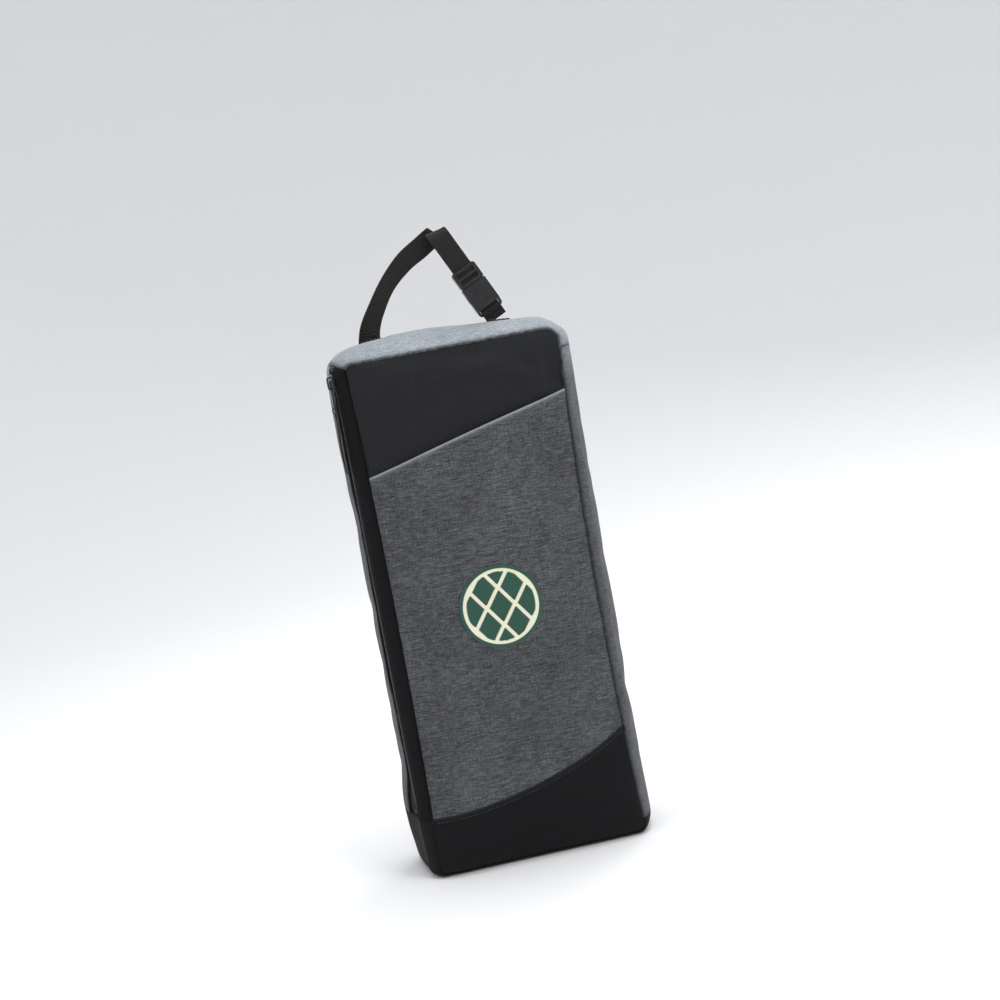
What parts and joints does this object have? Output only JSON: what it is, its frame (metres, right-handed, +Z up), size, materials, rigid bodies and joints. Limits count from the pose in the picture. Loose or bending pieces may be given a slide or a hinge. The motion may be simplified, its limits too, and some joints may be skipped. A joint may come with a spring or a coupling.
{
  "type": "golf shoe bag",
  "caption": "Slim upright padded golf shoe bag with a side zipper, slanted front pocket, round patch and a buckled webbing strap for hanging.",
  "frame": {"origin": "centre of the underside of the base, on the surface the bag stands on", "axes": "+Z up, the pocket side faces -Y, the zipper side is -X"},
  "size_m": [0.1821, 0.0856, 0.4697],
  "materials": {
    "black_fabric": "matte",
    "graphite_heather": "matte",
    "slate_heather": "matte",
    "foam": "matte",
    "lining": "satin",
    "webbing": "matte",
    "zipper_tape": "matte",
    "zipper_coil": "satin",
    "zipper_metal": "satin",
    "buckle_plastic": "satin",
    "patch_cream": "matte",
    "patch_green": "matte"
  },
  "bodies": {
    "bag": {"back_panel": "black_fabric", "back_foam": "foam", "back_lining": "lining", "right_gusset": "graphite_heather", "right_foam": "foam", "right_lining": "lining", "left_gusset": "graphite_heather", "base_wrap": "black_fabric", "left_foam": "foam", "left_lining": "lining", "top_gusset": "slate_heather", "top_foam": "foam", "top_lining": "lining", "base_panel": "black_fabric", "base_foam": "foam", "base_lining": "lining", "zip_tape_rear": "zipper_tape", "zip_teeth_rear": "zipper_coil", "zip_top_stop": "zipper_metal", "zip_bottom_stop": "zipper_metal", "strap_anchor_left": "webbing", "strap_anchor_right": "webbing"},
    "front_flap": {"front_panel": "black_fabric", "front_foam": "foam", "front_lining": "lining", "pocket_panel": "graphite_heather", "pocket_hem": "graphite_heather", "front_lower_panel": "black_fabric", "emblem_patch": "patch_cream", "emblem_border": "patch_green", "zip_tape_front": "zipper_tape", "zip_teeth_front": "zipper_coil"},
    "slider": {"zip_slider": "zipper_metal"},
    "pull": {"zip_pull": "zipper_metal"},
    "ribbon": {"zip_ribbon": "webbing"},
    "strap": {"strap_web": "webbing", "strap_short_web": "webbing", "buckle_socket": "buckle_plastic"},
    "plug": {"buckle_plug": "buckle_plastic"},
    "arm_left": {"buckle_arm_left": "buckle_plastic"},
    "arm_right": {"buckle_arm_right": "buckle_plastic"}
  },
  "joints": [
    {"name": "front_open", "type": "hinge", "parent": "bag", "child": "front_flap", "pos_m": [0.0743, -0.041, 0.194], "axis": [0, 0, 1], "range_deg": [0, 22]},
    {"name": "zip_slide", "type": "slide", "parent": "bag", "child": "slider", "axis": [0, 0, -1], "range_m": [0, 0.3]},
    {"name": "pull_swing", "type": "hinge", "parent": "slider", "child": "pull", "pos_m": [-0.09525, -0.0271, 0.3745], "axis": [0, 1, 0], "range_deg": [0, 130]},
    {"name": "ribbon_swing", "type": "hinge", "parent": "pull", "child": "ribbon", "pos_m": [-0.09525, -0.0271, 0.353], "axis": [0, 1, 0], "range_deg": [0, 50]},
    {"name": "strap_swing", "type": "hinge", "parent": "bag", "child": "strap", "pos_m": [-0.01075, 0.01, 0.398], "axis": [1, 0, 0], "range_deg": [-75, 75]},
    {"name": "buckle_release", "type": "slide", "parent": "strap", "child": "plug", "axis": [-0.4384, 0, 0.8988], "range_m": [0, 0.018]},
    {"name": "arm_left_squeeze", "type": "hinge", "parent": "plug", "child": "arm_left", "pos_m": [0.01851, 0.01, 0.42279], "axis": [0, -1, 0], "range_deg": [0, 12]},
    {"name": "arm_right_squeeze", "type": "hinge", "parent": "plug", "child": "arm_right", "pos_m": [0.02966, 0.01, 0.42822], "axis": [0, 1, 0], "range_deg": [0, 12]}
  ],
  "couplings": [
    {"joint": "zip_slide", "follows": "front_open", "m_per_rad": 0.78},
    {"joint": "arm_left_squeeze", "follows": "buckle_release", "rad_per_m": 11.626},
    {"joint": "arm_right_squeeze", "follows": "buckle_release", "rad_per_m": 11.626}
  ]
}
